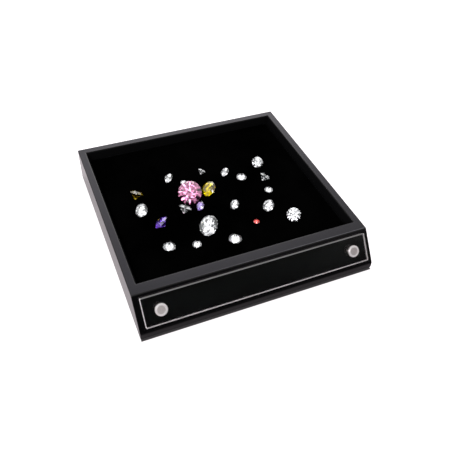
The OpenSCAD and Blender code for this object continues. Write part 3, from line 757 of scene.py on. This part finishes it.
dark = add_node(sweep_paper, "Math", {}, {0: (front_painted_shadow, "Value"), 1: (under, "Result")},
                operation="MAXIMUM")
# Where the painted shadows lie, the sweep's colour is mixed towards a dark grey.
tone = add_node(sweep_paper, "Mix", {"A": linear("#eae0e5"), "B": linear("#404040")},
                {"Factor": (dark, "Value")}, data_type="RGBA")

# The sweep is lit evenly: it glows as the camera sees it, fainter in the lacquer's reflections,
# and most strongly through the stones and the clear plate.
seen = add_node(sweep_paper, "Math", {}, {0: (rays, "Is Camera Ray"), 1: (beside, "Result")},
                operation="MULTIPLY")
# In front of the tray the painted shadow also takes the glow out of the reflections.
around = add_node(sweep_paper, "Math", {}, {0: (rays, "Is Glossy Ray"), 1: (front_painted_shadow, "Value")},
                  operation="SUBTRACT")
mirrored = add_node(sweep_paper, "Math", {1: 0.115}, {0: (around, "Value")}, operation="MULTIPLY")
through = add_node(sweep_paper, "Math", {1: 1.5}, {0: (rays, "Is Transmission Ray")},
                   operation="MULTIPLY")
brighter = add_node(sweep_paper, "Math", {}, {0: (seen, "Value"), 1: (mirrored, "Value")},
                    operation="MAXIMUM")
glow = add_node(sweep_paper, "Math", {}, {0: (brighter, "Value"), 1: (through, "Value")},
                operation="MAXIMUM")
lit = add_node(sweep_paper, "BsdfDiffuse", {}, {"Color": (tone, "Result")})
shine = add_node(sweep_paper, "Emission", {"Color": linear("#ffffff")}, {"Strength": (glow, "Value")})
both = add_node(sweep_paper, "AddShader", {}, {0: (lit, "BSDF"), 1: (shine, "Emission")})
add_node(sweep_paper, "OutputMaterial", links={"Surface": (both, "Shader")})
floor.data.materials.append(sweep_paper)

# The camera sees the room as plain white. Reflections show a ceiling that brightens upwards and to
# the back, and a glow low on the back wall. What passes through a stone meets light and dark panes
# behind, whose contrast makes the facets sparkle.
room = bpy.data.worlds.new("studio_room")
bpy.context.scene.world = room
room.use_nodes = True
room.node_tree.nodes.clear()
rays = add_node(room, "LightPath")
way = add_node(room, "TexCoord")
overhead = add_node(room, "VectorMath", {1: (0.35, 0.6, 0.9)}, {0: (way, "Generated")},
                    operation="DOT_PRODUCT")
ceiling = add_node(room, "MapRange", {"From Min": -0.1, "From Max": 0.5, "To Min": 0.03, "To Max": 0.5},
                   {"Value": (overhead, "Value")})
low_behind = add_node(room, "VectorMath", {1: (0.2, 1.0, -0.4)}, {0: (way, "Generated")},
                      operation="DOT_PRODUCT")
back_wall = add_node(room, "MapRange", {"From Min": 0.25, "From Max": 0.6, "To Min": 0.0, "To Max": 0.56},
                     {"Value": (low_behind, "Value")})
room_light = add_node(room, "Math", {}, {0: (ceiling, "Result"), 1: (back_wall, "Result")}, operation="ADD")
panes = add_node(room, "TexVoronoi", {"Scale": 6.0}, {"Vector": (way, "Generated")})
pane = add_node(room, "SeparateColor", {}, {"Color": (panes, "Color")})
pane_light = add_node(room, "MapRange", {"To Min": 0.4, "To Max": 1.9}, {"Value": (pane, "Red")})
from_back = add_node(room, "MapRange", {"From Min": -0.02, "From Max": 0.1, "To Min": 0.03, "To Max": 1.0},
                     {"Value": (overhead, "Value")})
through_light = add_node(room, "Math", {}, {0: (pane_light, "Result"), 1: (from_back, "Result")},
                         operation="MULTIPLY")
unseen = add_node(room, "Mix", {}, {"Factor": (rays, "Is Transmission Ray"), "A": (room_light, "Value"),
                                    "B": (through_light, "Value")}, data_type="FLOAT")
level = add_node(room, "Mix", {"B": 1.0}, {"Factor": (rays, "Is Camera Ray"), "A": (unseen, "Result")},
                 data_type="FLOAT")
sky = add_node(room, "Background", {"Color": linear("#ffffff")}, {"Strength": (level, "Result")})
add_node(room, "OutputWorld", links={"Surface": (sky, "Background")})

# The soft boxes: power in watts, edge and place in metres. Each is aimed at the tray.
for name, watts, edge, at in (("soft_box_behind", 2.1, 0.7, (0.37, 1.08, 0.75)),
                              ("soft_box_left", 1.3, 0.8, (-0.75, 0.25, 0.8)),
                              ("soft_box_front", 5.2, 0.5, (-0.47, -0.78, 0.8))):
    lamp = bpy.data.objects.new(name, bpy.data.lights.new(name, "AREA"))
    bpy.context.scene.collection.objects.link(lamp)
    lamp.data.energy, lamp.data.size = watts, edge
    lamp.location = at
    lamp.rotation_euler = (-Vector(at)).to_track_quat("-Z", "Y").to_euler()

# The camera, fitted to the tray's edges: its heading, tilt and roll, the point at the rim's height
# that it looks at, and how far it stands from there. Its frame is 450 pixels, shifted by a half.
turn, tilt, roll = math.radians(-24.9125), math.radians(45.067), math.radians(3.3227)
target, distance = Vector((-8.48, -38.76, 31)) * mm, 447.8 * mm
lens_mm, sensor_mm, half_pixel, clip_near, clip_far = 43.81, 36, 0.5 / 450, 0.01, 20
back = Vector((math.sin(turn) * math.cos(tilt), -math.cos(turn) * math.cos(tilt), math.sin(tilt)))
level_right = Vector((math.cos(turn), math.sin(turn), 0))
level_up = back.cross(level_right)
right = math.cos(roll) * level_right + math.sin(roll) * level_up
up = math.cos(roll) * level_up - math.sin(roll) * level_right
camera = bpy.data.objects.new("camera", bpy.data.cameras.new("camera"))
bpy.context.scene.collection.objects.link(camera)
camera.data.lens, camera.data.sensor_width = lens_mm, sensor_mm
camera.data.shift_x, camera.data.shift_y = -half_pixel, half_pixel
camera.data.clip_start, camera.data.clip_end = clip_near, clip_far
camera.matrix_world = (Matrix.Translation(target + back * distance)
                       @ Matrix((right, up, back)).transposed().to_4x4())
bpy.context.scene.camera = camera
bpy.context.scene.view_settings.view_transform = "Standard"
